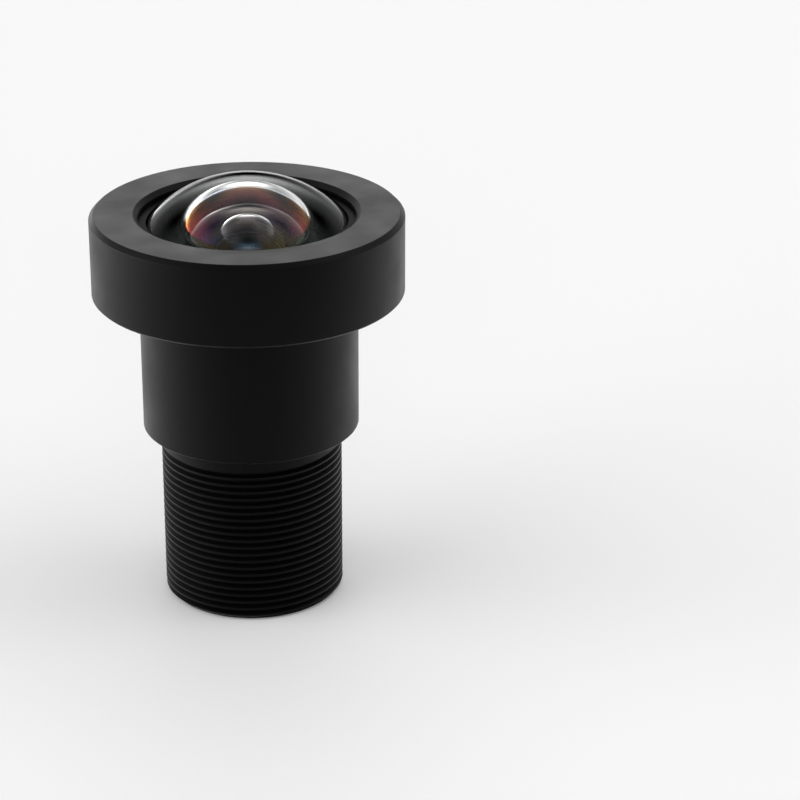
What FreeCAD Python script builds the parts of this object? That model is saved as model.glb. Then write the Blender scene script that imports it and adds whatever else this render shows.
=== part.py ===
import FreeCAD, Part
import math
import os
import Sketcher

# Wide angle board camera lens, M12 screw mount, lengths in millimetres.
# The optical axis is Z, the rear rim stands on Z = 0 and the front glass looks along +Z.
# "front" is towards the scene (+Z) and "rear" is towards the sensor.

driving_dimensions = {
    # Barrel
    "thread_diameter": 12.0,
    "thread_pitch": 0.5,
    "thread_crest": 0.15,
    "thread_depth": 0.3,
    "thread_start": 0.3,
    "thread_runout": 1.25,
    "nose_length": 11.9,
    "lead_chamfer": 0.3,
    "rim_chamfer": 0.1,
    "nose_wall": 0.8,
    "middle_diameter": 14.3,
    "shoulder_chamfer": 0.1,
    "land_height": 16.9,
    "land_thickness": 1.67,
    "stop_seat_width": 0.4,
    # Front cap
    "head_diameter": 20.4,
    "cap_wall": 1.68,
    "head_height": 5.45,
    "head_chamfer": 0.3,
    "head_rear_chamfer": 0.15,
    "lip_thickness": 0.6,
    "lip_chamfer": 0.3,
    "lip_overlap": 0.4,
    "seam_chamfer": 0.12,
    # Fits
    "glass_clearance": 0.03,
    "thread_clearance": 0.02,
    "step_relief": 0.2,
    "ring_relief": 0.03,
    "collar_relief": 0.3,
    # Seal
    "seal_gap": 0.55,
    "seal_slack": 0.03,
    "seal_flat": 0.1,
    "seal_room": 0.85,
    "collar_wall": 0.5,
    # Front element
    "front_radius": 9.0,
    "front_bowl_radius": 5.2,
    "front_thickness": 1.2,
    "front_edge_thickness": 1.55,
    "front_rim_ring": 0.5,
    "front_bevel": 0.15,
    "shield_thickness": 0.1,
    "shield_overhang": 0.15,
    # Front group ring
    "seat_width": 0.83,
    "group_ring_step": 0.4,
    "group_ring_height": 0.8,
    "group_ring_inset": 0.1,
    "group_slot_width": 0.9,
    "group_slot_depth": 0.3,
    "group_slot_count": 2,
    "slot_overrun": 1.0,
    # Second element
    "second_face_inset": 0.46,
    "second_front_radius": 8.0,
    "second_bowl_radius": 3.2,
    "second_bowl_depth": 1.95,
    "second_thickness": 1.35,
    "second_rim_step": 1.1,
    "front_spacer_height": 1.33,
    "front_spacer_width": 1.57,
    # Third element
    "third_step": 1.0,
    "third_front_radius": 25.2,
    "third_rear_radius": 9.6,
    "third_thickness": 3.2,
    "third_clearance": 0.1,
    # Aperture stop
    "stop_aperture": 4.7,
    "stop_thickness": 0.1,
    "stop_bevel": 0.25,
    "stop_edge": 0.03,
    "stop_spacer_height": 1.13,
    "spacer_inset": 0.1,
    # Fourth element
    "rim_width": 0.5,
    "fourth_step": 0.2,
    "fourth_front_radius": 18.8,
    "fourth_rear_radius": 13.4,
    "fourth_thickness": 2.6,
    "middle_spacer_height": 0.61,
    # Cemented doublet
    "doublet_step": 0.3,
    "flint_front_radius": 13.7,
    "cement_radius": 10.1,
    "crown_rear_radius": 12.1,
    "flint_thickness": 0.8,
    "crown_thickness": 3.2,
    "rear_spacer_height": 2.1,
    # Rear element
    "rear_front_radius": 16.4,
    "rear_rear_radius": 18.7,
    "rear_thickness": 2.9,
    # Rear retaining ring
    "rear_ring_step": 0.17,
    "rear_ring_recess": 0.9,
    "rear_slot_width": 1.2,
    "rear_slot_depth": 0.4,
    "rear_slot_count": 2,
    "glare_groove_depth": 0.2,
    "glare_groove_count": 6,
    "glare_groove_lead": 0.6,
    # Infrared cut filter
    "pocket_wall": 0.38,
    "pocket_depth": 0.5,
    "glue_gap": 0.15,
    "filter_thickness": 0.3,
    "filter_seat_width": 0.35,
}


def sag(sphere, aperture):
    """Depth of a spherical surface at an aperture radius, as an expression."""
    return f"({sphere} - sqrt({sphere}^2 - {aperture}^2))"


def bowl_aperture(sphere, depth):
    """Radius at the mouth of a spherical bowl of a given depth, as an expression."""
    return f"sqrt(2 * {sphere} * {depth} - {depth}^2)"


# The front element's bowl leaves its stated thickness under the top of the dome.
front_bowl_depth = ("(dims.front_edge_thickness - dims.front_thickness + "
                    + sag("dims.front_radius", "radii.front_clear") + ")")

# Radii from the axis, each one worked out from the driving dimensions and the radii above it.
radius_expressions = {
    "axis": "0",
    "thread": "dims.thread_diameter / 2",
    "thread_lead": "radii.thread - dims.lead_chamfer",
    "thread_root": "radii.thread - dims.thread_depth",
    "middle": "dims.middle_diameter / 2",
    "middle_chamfer": "radii.middle - dims.shoulder_chamfer",
    "head": "dims.head_diameter / 2",
    "head_top": "radii.head - dims.head_chamfer",
    "head_bottom": "radii.head - dims.head_rear_chamfer",
    "cap_bore": "radii.head - dims.cap_wall",
    "cap_seam": "radii.cap_bore + dims.seam_chamfer",
    "collar": "radii.cap_bore - dims.thread_clearance",
    "collar_chamfer": "radii.collar - dims.seam_chamfer",
    "seal_bore": "radii.collar - dims.collar_wall",
    "front": "radii.seal_bore - dims.seal_gap",
    "front_bevelled": "radii.front - dims.front_bevel",
    "front_pocket": "radii.front + dims.glass_clearance",
    "lip": "radii.front - dims.lip_overlap",
    "lip_top": "radii.lip + dims.lip_chamfer",
    "front_clear": "radii.lip - dims.front_rim_ring",
    "front_bowl": bowl_aperture("dims.front_bowl_radius", front_bowl_depth),
    "seal_section": "(dims.seal_gap - dims.seal_slack) / 2",
    "seal_centre": "(radii.front + radii.seal_bore) / 2",
    "seal_inner": "radii.seal_centre - radii.seal_section",
    "seal_outer": "radii.seal_centre + radii.seal_section",
    "seal_inner_flat": "radii.seal_centre - dims.seal_flat",
    "seal_outer_flat": "radii.seal_centre + dims.seal_flat",
    "group_bore": "radii.front_pocket - dims.seat_width",
    "group_ring": "radii.group_bore - dims.thread_clearance",
    "front_shield": "radii.front",
    "front_shield_hole": "radii.front_bowl - dims.shield_overhang",
    "second_bore": "radii.group_bore - dims.group_ring_step",
    "second": "radii.second_bore - dims.glass_clearance",
    "second_clear": "radii.front_shield_hole - dims.second_face_inset",
    "group_ring_hole": "radii.second_clear + dims.group_ring_inset",
    "second_bowl": bowl_aperture("dims.second_bowl_radius", "dims.second_bowl_depth"),
    "third_bore": "radii.second_bore - dims.third_step",
    "third": "radii.third_bore - dims.glass_clearance",
    "front_spacer_hole": "radii.third - dims.front_spacer_width",
    "rear_ring_bore": "radii.thread - dims.nose_wall",
    "rear_bore": "radii.rear_ring_bore - dims.rear_ring_step",
    "rear": "radii.rear_bore - dims.glass_clearance",
    "rear_clear": "radii.rear - dims.rim_width",
    "rear_rim": "radii.rear_ring_bore + dims.rim_chamfer",
    "rear_ring": "radii.rear_ring_bore - dims.thread_clearance",
    "filter_pocket": "radii.rear_ring - dims.pocket_wall",
    "filter": "radii.filter_pocket - dims.glue_gap",
    "rear_ring_hole": "radii.filter - dims.filter_seat_width",
    "glare_groove": "radii.rear_ring_hole + dims.glare_groove_depth",
    "rear_shield_hole": "radii.rear_clear - dims.spacer_inset",
    "rear_spacer_wide": "radii.rear_clear + dims.spacer_inset",
    "doublet": "radii.rear - dims.doublet_step",
    "doublet_bore": "radii.doublet + dims.glass_clearance",
    "doublet_clear": "radii.doublet - dims.rim_width",
    "rear_spacer_narrow": "radii.doublet_clear + dims.spacer_inset",
    "fourth": "radii.doublet - dims.fourth_step",
    "fourth_bore": "radii.fourth + dims.glass_clearance",
    "fourth_clear": "radii.fourth - dims.rim_width",
    "spacer_hole": "radii.fourth_clear + dims.spacer_inset",
    "land": "radii.fourth - dims.stop_seat_width",
    "third_clear": "radii.land - dims.third_clearance",
    "stop": "dims.stop_aperture / 2",
    "stop_bevel": "radii.stop + dims.stop_bevel",
}

# Heights above the rear rim. The front group stacks up from the barrel's inner land,
# and the rear group stacks down from it to the retaining ring.
level_expressions = {
    "rear_rim": "0",
    "lead": "dims.lead_chamfer",
    "rim_chamfer": "dims.rim_chamfer",
    "shoulder": "dims.nose_length",
    "shoulder_chamfer": "levels.shoulder + dims.shoulder_chamfer",
    "thread_groove": "levels.lead + dims.thread_start",
    "thread_groove_start": "levels.thread_groove - (dims.thread_pitch - dims.thread_crest) / 2",
    "thread_groove_end": "levels.thread_groove + (dims.thread_pitch - dims.thread_crest) / 2",
    "last_thread_groove": "levels.shoulder - dims.thread_runout",
    "land_rear": "dims.land_height",
    "land_front": "levels.land_rear + dims.land_thickness",
    "third_rear_vertex": "levels.land_front - " + sag("dims.third_rear_radius", "radii.third_clear"),
    "third_front_vertex": "levels.third_rear_vertex + dims.third_thickness",
    "third_front_flat": "levels.third_front_vertex + " + sag("dims.third_front_radius", "radii.third_clear"),
    "second_rear_flat": "levels.third_front_flat + dims.front_spacer_height",
    "second_rear_vertex": "levels.second_rear_flat + dims.second_bowl_depth",
    "second_front_vertex": "levels.second_rear_vertex + dims.second_thickness",
    "second_front_edge": "levels.second_front_vertex - "
                         + sag("dims.second_front_radius", "radii.second_clear"),
    "second_front_flat": "levels.second_front_edge - dims.second_rim_step",
    "second_step": "levels.second_rear_flat - dims.step_relief",
    "group_step": "levels.second_front_flat - dims.step_relief",
    "group_ring_front": "levels.second_front_flat + dims.group_ring_height",
    "seat": "levels.group_ring_front + dims.ring_relief",
    "front_rear_flat": "levels.seat + dims.shield_thickness",
    "front_rear_bevel": "levels.front_rear_flat + dims.front_bevel",
    "front_flat": "levels.front_rear_flat + dims.front_edge_thickness",
    "front_vertex": "levels.front_flat + " + sag("dims.front_radius", "radii.front_clear"),
    "front_rear_vertex": "levels.front_vertex - dims.front_thickness",
    "seal_shelf": "levels.front_flat - dims.seal_room",
    "seal_rear": "levels.seal_shelf",
    "seal_front": "levels.seal_rear + 2 * radii.seal_section",
    "seal_rear_flat": "levels.seal_rear + radii.seal_section - dims.seal_flat",
    "seal_front_flat": "levels.seal_rear + radii.seal_section + dims.seal_flat",
    "collar_front": "levels.front_flat - dims.collar_relief",
    "collar_front_chamfer": "levels.collar_front - dims.seam_chamfer",
    "head_front": "levels.front_flat + dims.lip_thickness",
    "head_front_chamfer": "levels.head_front - dims.head_chamfer",
    "lip_chamfer": "levels.head_front - dims.lip_chamfer",
    "head_rear": "levels.head_front - dims.head_height",
    "head_rear_chamfer": "levels.head_rear + dims.head_rear_chamfer",
    "seam": "levels.head_rear + dims.seam_chamfer",
    "stop_rear": "levels.land_rear - dims.stop_thickness",
    "stop_edge": "levels.land_rear - dims.stop_edge",
    "fourth_front_flat": "levels.stop_rear - dims.stop_spacer_height",
    "fourth_front_vertex": "levels.fourth_front_flat + "
                           + sag("dims.fourth_front_radius", "radii.fourth_clear"),
    "fourth_rear_vertex": "levels.fourth_front_vertex - dims.fourth_thickness",
    "fourth_rear_flat": "levels.fourth_rear_vertex + " + sag("dims.fourth_rear_radius", "radii.fourth_clear"),
    "flint_front_flat": "levels.fourth_rear_flat - dims.middle_spacer_height",
    "fourth_step": "levels.flint_front_flat + dims.step_relief",
    "flint_front_vertex": "levels.flint_front_flat - "
                          + sag("dims.flint_front_radius", "radii.doublet_clear"),
    "cement_vertex": "levels.flint_front_vertex - dims.flint_thickness",
    "cement_edge": "levels.cement_vertex - " + sag("dims.cement_radius", "radii.doublet"),
    "crown_rear_vertex": "levels.cement_vertex - dims.crown_thickness",
    "crown_rear_flat": "levels.crown_rear_vertex + " + sag("dims.crown_rear_radius", "radii.doublet_clear"),
    "doublet_step": "levels.crown_rear_flat + dims.step_relief",
    "rear_front_flat": "levels.crown_rear_flat - dims.rear_spacer_height",
    "rear_front_vertex": "levels.rear_front_flat + " + sag("dims.rear_front_radius", "radii.rear_clear"),
    "rear_rear_vertex": "levels.rear_front_vertex - dims.rear_thickness",
    "rear_rear_flat": "levels.rear_rear_vertex + " + sag("dims.rear_rear_radius", "radii.rear_clear"),
    "rear_ring_step": "levels.rear_rear_flat + dims.step_relief",
    "rear_ring_front": "levels.rear_rear_flat - dims.shield_thickness",
    "rear_ring_rear": "dims.rear_ring_recess",
    "filter_front": "levels.rear_ring_rear + dims.pocket_depth",
    "filter_rear": "levels.filter_front - dims.filter_thickness",
    "glare_groove": "levels.filter_front + dims.glare_groove_lead",
    "glare_groove_start": "levels.glare_groove - dims.glare_groove_depth",
    "glare_groove_end": "levels.glare_groove + dims.glare_groove_depth",
    "last_glare_groove": "levels.rear_ring_front - dims.glare_groove_lead",
}

# Two sketch points closer than this are the same corner.
same_point = 1e-6

doc = FreeCAD.newDocument("board_camera_lens")


def make_sheet(name, values):
    """Spreadsheet with one aliased plain number to a row."""
    sheet = doc.addObject("Spreadsheet::Sheet", name)
    for row, (alias, value) in enumerate(values.items(), start=1):
        sheet.set(f"A{row}", alias)
        sheet.set(f"B{row}", str(value))
        sheet.setAlias(f"B{row}", alias)
    return sheet


def make_variables(name, expressions):
    """Variable set whose numbers follow the expressions."""
    variables = doc.addObject("App::VarSet", name)
    for variable, expression in expressions.items():
        variables.addProperty("App::PropertyFloat", variable)
        variables.setExpression(variable, expression)
    return variables


def origin_plane(body, role):
    """One of the body's own origin planes."""
    return next(plane for plane in body.Origin.OriginFeatures if plane.Role == role)


def make_body(label):
    body = doc.addObject("PartDesign::Body", label)
    body.Label = label
    body.Placement = FreeCAD.Placement()
    return body


def half_section(body, name, corners, spheres=()):
    """Closed half section beside the axis, through (radius, level) corners given by name.

    spheres lists the corners after which the edge is an arc centred on the axis.
    """
    sketch = body.newObject("Sketcher::SketchObject", name)
    sketch.AttachmentSupport = (origin_plane(body, "XZ_Plane"), [""])
    sketch.MapMode = "FlatFace"
    points = [FreeCAD.Vector(getattr(radii, r), getattr(levels, z), 0) for r, z in corners]
    count = len(points)
    for index, point in enumerate(points):
        following = points[(index + 1) % count]
        if index in spheres:
            sketch.addGeometry(arc_about_axis(point, following), False)
        else:
            sketch.addGeometry(Part.LineSegment(point, following), False)
    ends = [edge_ends(sketch, index, points[index]) for index in range(count)]
    for index in range(count):
        following = (index + 1) % count
        sketch.addConstraint(
            Sketcher.Constraint("Coincident", index, ends[index][1], following, ends[following][0]))
        if index in spheres:
            sketch.addConstraint(Sketcher.Constraint("PointOnObject", index, 3, -2))
    for index, (radius_name, level_name) in enumerate(corners):
        start = ends[index][0]
        if radius_name == "axis":
            sketch.addConstraint(Sketcher.Constraint("PointOnObject", index, start, -2))
        else:
            bind(sketch, "DistanceX", index, start, points[index].x, f"radii.{radius_name}")
        if level_name == "rear_rim":
            sketch.addConstraint(Sketcher.Constraint("PointOnObject", index, start, -1))
        else:
            bind(sketch, "DistanceY", index, start, points[index].y, f"levels.{level_name}")
    return sketch


def bind(sketch, kind, edge, end, value, expression):
    """Distance of a point from the sketch origin, tied to an expression."""
    number = sketch.addConstraint(Sketcher.Constraint(kind, -1, 1, edge, end, value))
    sketch.setExpression(f"Constraints[{number}]", expression)


def arc_about_axis(start, end):
    """Shorter arc from start to end, centred on the axis."""
    centre_level = (end.y**2 + end.x**2 - start.y**2 - start.x**2) / (2 * (end.y - start.y))
    centre = FreeCAD.Vector(0, centre_level, 0)
    size = (start - centre).Length
    halfway = sum(math.atan2(point.y - centre_level, point.x) for point in (start, end)) / 2
    middle = centre + FreeCAD.Vector(math.cos(halfway), math.sin(halfway), 0) * size
    return Part.Arc(start, middle, end)


def edge_ends(sketch, index, start):
    """Sketch numbers of an edge's two ends, the one at start first."""
    if (sketch.getPoint(index, 1) - start).Length < same_point:
        return 1, 2
    return 2, 1


def turn(body, sketch, kind="Revolution"):
    """Full turn of a half section about the lens axis, adding or cutting."""
    feature = body.newObject(f"PartDesign::{kind}", f"{body.Name}_{sketch.Name}_turn")
    feature.Profile = sketch
    feature.ReferenceAxis = (sketch, ["V_Axis"])
    feature.Angle = 360
    body.Tip = feature
    doc.recompute()
    return feature


def turned_piece(label, corners, spheres=()):
    """Body made by one turned half section."""
    body = make_body(label)
    turn(body, half_section(body, f"{label}_section", corners, spheres))
    return body


def glass_element(label, front, rear, rim, front_clear, rear_clear, step=None):
    """Glass element: spherical faces inside flat rims, and a ground edge.

    front and rear are (vertex level, rim level) pairs. step, where given, is the level at which
    the front surface ends above a lower rim.
    """
    front_corners = [(front_clear, step or front[1])]
    if step:
        front_corners.append((front_clear, front[1]))
    corners = [("axis", front[0]), *front_corners, (rim, front[1]), (rim, rear[1]), (rear_clear, rear[1]),
               ("axis", rear[0])]
    return turned_piece(label, corners, spheres=(0, len(corners) - 2))


def cut_slots(body, level_name, reach, width, depth, count, upward):
    """Spanner slots across a ring's end face, set round the axis."""
    before = body.Shape.Volume
    sketch = body.newObject("Sketcher::SketchObject", f"{body.Name}_slot")
    sketch.AttachmentSupport = (origin_plane(body, "XY_Plane"), [""])
    sketch.MapMode = "FlatFace"
    sketch.setExpression("AttachmentOffset.Base.z", f"levels.{level_name}")
    inner, outer = reach
    near = getattr(radii, inner) - dims.slot_overrun
    far = getattr(radii, outer) + dims.slot_overrun
    half = getattr(dims, width) / 2
    corners = [FreeCAD.Vector(x, y, 0) for x, y in ((near, -half), (far, -half), (far, half), (near, half))]
    for index in range(4):
        sketch.addGeometry(Part.LineSegment(corners[index], corners[(index + 1) % 4]), False)
    for index in range(4):
        sketch.addConstraint(Sketcher.Constraint("Coincident", index, 2, (index + 1) % 4, 1))
    for index, kind in enumerate(("Horizontal", "Vertical", "Horizontal")):
        sketch.addConstraint(Sketcher.Constraint(kind, index))
    sketch.addConstraint(Sketcher.Constraint("Symmetric", 3, 1, 3, 2, -1))
    bind(sketch, "DistanceX", 3, 2, near, f"radii.{inner} - dims.slot_overrun")
    bind(sketch, "DistanceX", 0, 2, far, f"radii.{outer} + dims.slot_overrun")
    number = sketch.addConstraint(Sketcher.Constraint("DistanceY", 1, 1, 1, 2, 2 * half))
    sketch.setExpression(f"Constraints[{number}]", f"dims.{width}")
    pocket = body.newObject("PartDesign::Pocket", f"{body.Name}_slot_cut")
    pocket.Profile = sketch
    pocket.Type = "Length"
    pocket.Reversed = upward
    pocket.setExpression("Length", f"dims.{depth}")
    body.Tip = pocket
    doc.recompute()
    pattern = body.newObject("PartDesign::PolarPattern", f"{body.Name}_slots")
    pattern.Originals = [pocket]
    pattern.Axis = (sketch, ["N_Axis"])
    pattern.Angle = 360
    pattern.setExpression("Occurrences", f"dims.{count}")
    body.Tip = pattern
    doc.recompute()
    if body.Shape.Volume >= before:
        raise ValueError(f"{body.Label}: the slots cut nothing")


def cut_groove_row(body, name, corners, length, count):
    """Row of equal turned grooves along the axis, the first one through the given corners."""
    before = body.Shape.Volume
    section = half_section(body, f"{name}_section", corners)
    groove = turn(body, section, "Groove")
    rows = body.newObject("PartDesign::LinearPattern", f"{name}_row")
    rows.Originals = [groove]
    rows.Direction = (section, ["V_Axis"])
    rows.setExpression("Length", length)
    rows.setExpression("Occurrences", count)
    body.Tip = rows
    doc.recompute()
    if body.Shape.Volume >= before:
        raise ValueError(f"{body.Label}: {name} cuts nothing")


dims = make_sheet("dims", driving_dimensions)
doc.recompute()
radii = make_variables("radii", radius_expressions)
levels = make_variables("levels", level_expressions)
doc.recompute()


def make_barrel():
    """Barrel: grooved nose, plain middle, and a collar inside the head, bored in steps from both ends.

    The nose's ring grooves stand for its thread: they have the thread's pitch, crest and depth.
    """
    body = make_body("barrel")
    outside = half_section(body, "barrel_outside", [
        ("axis", "rear_rim"),
        ("thread_lead", "rear_rim"),
        ("thread", "lead"),
        ("thread", "shoulder"),
        ("middle_chamfer", "shoulder"),
        ("middle", "shoulder_chamfer"),
        ("middle", "head_rear"),
        ("collar_chamfer", "head_rear"),
        ("collar", "seam"),
        ("collar", "collar_front_chamfer"),
        ("collar_chamfer", "collar_front"),
        ("axis", "collar_front"),
    ])
    blank = turn(body, outside)
    blank_volume = blank.Shape.Volume
    bores = half_section(body, "barrel_bores", [
        ("axis", "rear_rim"),
        ("rear_rim", "rear_rim"),
        ("rear_ring_bore", "rim_chamfer"),
        ("rear_ring_bore", "rear_ring_step"),
        ("rear_bore", "rear_ring_step"),
        ("rear_bore", "doublet_step"),
        ("doublet_bore", "doublet_step"),
        ("doublet_bore", "fourth_step"),
        ("fourth_bore", "fourth_step"),
        ("fourth_bore", "land_rear"),
        ("land", "land_rear"),
        ("land", "land_front"),
        ("third_bore", "land_front"),
        ("third_bore", "second_step"),
        ("second_bore", "second_step"),
        ("second_bore", "group_step"),
        ("group_bore", "group_step"),
        ("group_bore", "seat"),
        ("front_pocket", "seat"),
        ("front_pocket", "seal_shelf"),
        ("seal_bore", "seal_shelf"),
        ("seal_bore", "collar_front"),
        ("axis", "collar_front"),
    ])
    bored = turn(body, bores, "Groove")
    if bored.Shape.Volume >= blank_volume:
        raise ValueError("barrel: the bores cut nothing")
    pitches = "floor((levels.last_thread_groove - levels.thread_groove) / dims.thread_pitch)"
    cut_groove_row(body, "thread_groove", [
        ("thread", "thread_groove_start"),
        ("thread_root", "thread_groove"),
        ("thread", "thread_groove_end"),
    ], f"{pitches} * dims.thread_pitch", f"{pitches} + 1")
    return body


def make_front_cap():
    """Front cap: the wide head ring, screwed over the collar, whose lip holds the front glass."""
    return turned_piece("front_cap", [
        ("cap_seam", "head_rear"),
        ("head_bottom", "head_rear"),
        ("head", "head_rear_chamfer"),
        ("head", "head_front_chamfer"),
        ("head_top", "head_front"),
        ("lip_top", "head_front"),
        ("lip", "lip_chamfer"),
        ("lip", "front_flat"),
        ("cap_bore", "front_flat"),
        ("cap_bore", "seam"),
    ])


def make_front_o_ring():
    """O-ring in the step between the front glass and the collar, pressed flat where it bears."""
    return turned_piece("front_o_ring", [
        ("seal_inner_flat", "seal_rear"),
        ("seal_outer_flat", "seal_rear"),
        ("seal_outer", "seal_rear_flat"),
        ("seal_outer", "seal_front_flat"),
        ("seal_outer_flat", "seal_front"),
        ("seal_inner_flat", "seal_front"),
        ("seal_inner", "seal_front_flat"),
        ("seal_inner", "seal_rear_flat"),
    ])


def make_front_element():
    """Front element: deep meniscus whose bevelled rear edge sits on the light shield."""
    return turned_piece("front_element", [
        ("axis", "front_vertex"),
        ("front_clear", "front_flat"),
        ("front", "front_flat"),
        ("front", "front_rear_bevel"),
        ("front_bevelled", "front_rear_flat"),
        ("front_bowl", "front_rear_flat"),
        ("axis", "front_rear_vertex"),
    ], spheres=(0, 5))


def make_washer(label, hole, outer, rear_level, front_level):
    """Flat washer or plain ring."""
    return turned_piece(label, [
        (hole, rear_level),
        (outer, rear_level),
        (outer, front_level),
        (hole, front_level),
    ])


def make_front_group_ring():
    """Ring screwed in over the second element, with spanner slots in its front face."""
    ring = make_washer("front_group_ring", "group_ring_hole", "group_ring",
                       "second_front_flat", "group_ring_front")
    cut_slots(ring, "group_ring_front", ("group_ring_hole", "group_ring"), "group_slot_width",
              "group_slot_depth", "group_slot_count", upward=False)
    return ring


def make_aperture_stop():
    """Aperture stop: thin disc bevelled to a sharp edge round the pupil."""
    return turned_piece("aperture_stop", [
        ("stop", "land_rear"),
        ("stop", "stop_edge"),
        ("stop_bevel", "stop_rear"),
        ("fourth", "stop_rear"),
        ("fourth", "land_rear"),
    ])


def make_doublet():
    """Cemented doublet: two elements that share one spherical face out to the ground edge."""
    flint = turned_piece("doublet_flint", [
        ("axis", "flint_front_vertex"),
        ("doublet_clear", "flint_front_flat"),
        ("doublet", "flint_front_flat"),
        ("doublet", "cement_edge"),
        ("axis", "cement_vertex"),
    ], spheres=(0, 3))
    crown = turned_piece("doublet_crown", [
        ("axis", "cement_vertex"),
        ("doublet", "cement_edge"),
        ("doublet", "crown_rear_flat"),
        ("doublet_clear", "crown_rear_flat"),
        ("axis", "crown_rear_vertex"),
    ], spheres=(0, 3))
    return [flint, crown]


def make_rear_spacer():
    """Rear spacer with a bore that widens towards the rear element."""
    return turned_piece("rear_spacer", [
        ("rear_spacer_wide", "rear_front_flat"),
        ("rear", "rear_front_flat"),
        ("rear", "crown_rear_flat"),
        ("rear_spacer_narrow", "crown_rear_flat"),
    ])


def make_rear_retaining_ring():
    """Rear ring: glare grooves in its bore, a pocket for the filter, and spanner slots."""
    ring = turned_piece("rear_retaining_ring", [
        ("filter_pocket", "rear_ring_rear"),
        ("rear_ring", "rear_ring_rear"),
        ("rear_ring", "rear_ring_front"),
        ("rear_ring_hole", "rear_ring_front"),
        ("rear_ring_hole", "filter_front"),
        ("filter_pocket", "filter_front"),
    ])
    cut_groove_row(ring, "glare_groove", [
        ("rear_ring_hole", "glare_groove_start"),
        ("glare_groove", "glare_groove"),
        ("rear_ring_hole", "glare_groove_end"),
    ], "levels.last_glare_groove - levels.glare_groove", "dims.glare_groove_count")
    cut_slots(ring, "rear_ring_rear", ("filter_pocket", "rear_ring"), "rear_slot_width",
              "rear_slot_depth", "rear_slot_count", upward=True)
    return ring


def make_filter_adhesive():
    """Bead of adhesive round the filter's edge, sloping down to the pocket wall."""
    return turned_piece("filter_adhesive", [
        ("filter", "filter_rear"),
        ("filter_pocket", "rear_ring_rear"),
        ("filter_pocket", "filter_front"),
        ("filter", "filter_front"),
    ])


def make_ir_cut_filter():
    """Infrared cut filter: a thin flat disc of glass."""
    return turned_piece("ir_cut_filter", [
        ("axis", "filter_rear"),
        ("filter", "filter_rear"),
        ("filter", "filter_front"),
        ("axis", "filter_front"),
    ])


pieces = [
    make_barrel(),
    make_front_cap(),
    make_front_o_ring(),
    make_front_element(),
    make_washer("front_light_shield", "front_shield_hole", "front_shield", "seat", "front_rear_flat"),
    make_front_group_ring(),
    glass_element("second_element", ("second_front_vertex", "second_front_flat"),
                  ("second_rear_vertex", "second_rear_flat"), "second", "second_clear", "second_bowl",
                  step="second_front_edge"),
    make_washer("front_spacer", "front_spacer_hole", "third", "third_front_flat", "second_rear_flat"),
    glass_element("third_element", ("third_front_vertex", "third_front_flat"),
                  ("third_rear_vertex", "land_front"), "third", "third_clear", "third_clear"),
    make_aperture_stop(),
    make_washer("stop_spacer", "spacer_hole", "fourth", "fourth_front_flat", "stop_rear"),
    glass_element("fourth_element", ("fourth_front_vertex", "fourth_front_flat"),
                  ("fourth_rear_vertex", "fourth_rear_flat"), "fourth", "fourth_clear", "fourth_clear"),
    make_washer("middle_spacer", "spacer_hole", "fourth", "flint_front_flat", "fourth_rear_flat"),
    *make_doublet(),
    make_rear_spacer(),
    glass_element("rear_element", ("rear_front_vertex", "rear_front_flat"),
                  ("rear_rear_vertex", "rear_rear_flat"), "rear", "rear_clear", "rear_clear"),
    make_washer("rear_light_shield", "rear_shield_hole", "rear", "rear_ring_front", "rear_rear_flat"),
    make_rear_retaining_ring(),
    make_ir_cut_filter(),
    make_filter_adhesive(),
]
doc.recompute()

for item in doc.Objects:
    if "Invalid" in item.State or "Error" in item.State:
        raise ValueError(f"{item.Label} did not recompute: {item.State}")
for piece in pieces:
    if piece.Shape.isNull() or not piece.Shape.isValid() or len(piece.Shape.Solids) != 1:
        raise ValueError(f"{piece.Label} is not one sound solid")

os.makedirs("parts", exist_ok=True)
for piece in pieces:
    piece.Shape.exportStep(f"parts/{piece.Label}.step")
    box = piece.Shape.BoundBox
    print(f"{piece.Label}: z {box.ZMin:.3f} to {box.ZMax:.3f}, radius {box.XMax:.3f}, "
          f"volume {piece.Shape.Volume:.2f} cubic mm")
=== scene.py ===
import bmesh
import bpy
import math
from mathutils import Matrix, Vector


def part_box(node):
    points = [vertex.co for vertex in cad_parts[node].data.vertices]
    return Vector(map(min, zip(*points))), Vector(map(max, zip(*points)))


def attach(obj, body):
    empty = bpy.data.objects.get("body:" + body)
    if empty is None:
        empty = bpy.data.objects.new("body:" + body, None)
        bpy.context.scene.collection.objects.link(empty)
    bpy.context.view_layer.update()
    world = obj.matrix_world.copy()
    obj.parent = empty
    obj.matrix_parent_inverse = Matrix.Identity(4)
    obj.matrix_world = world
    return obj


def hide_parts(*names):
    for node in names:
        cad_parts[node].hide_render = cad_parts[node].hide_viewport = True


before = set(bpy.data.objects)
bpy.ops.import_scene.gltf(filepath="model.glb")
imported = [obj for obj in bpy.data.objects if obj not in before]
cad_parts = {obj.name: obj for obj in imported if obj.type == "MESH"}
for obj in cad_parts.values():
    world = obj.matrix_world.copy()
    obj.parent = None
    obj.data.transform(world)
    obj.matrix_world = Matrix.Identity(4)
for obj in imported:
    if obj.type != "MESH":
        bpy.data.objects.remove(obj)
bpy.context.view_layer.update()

# Lengths in this script are millimetres beside the lens axis Z, and become metres when a mesh is made.
mm = 0.001
fullTurn = 2 * math.pi


def linearColour(code):
    channels = [int(code[i:i + 2], 16) / 255 for i in (0, 2, 4)]
    return [c / 12.92 if c <= 0.04045 else ((c + 0.055) / 1.055) ** 2.4 for c in channels] + [1.0]


def addNode(tree, kind, links=None, **settings):
    node = tree.nodes.new(kind)
    for name, value in settings.items():
        setattr(node, name, value)
    for socket, source in (links or {}).items():
        if isinstance(source, bpy.types.NodeSocket):
            tree.links.new(source, node.inputs[socket])
        else:
            node.inputs[socket].default_value = source
    return node


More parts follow.
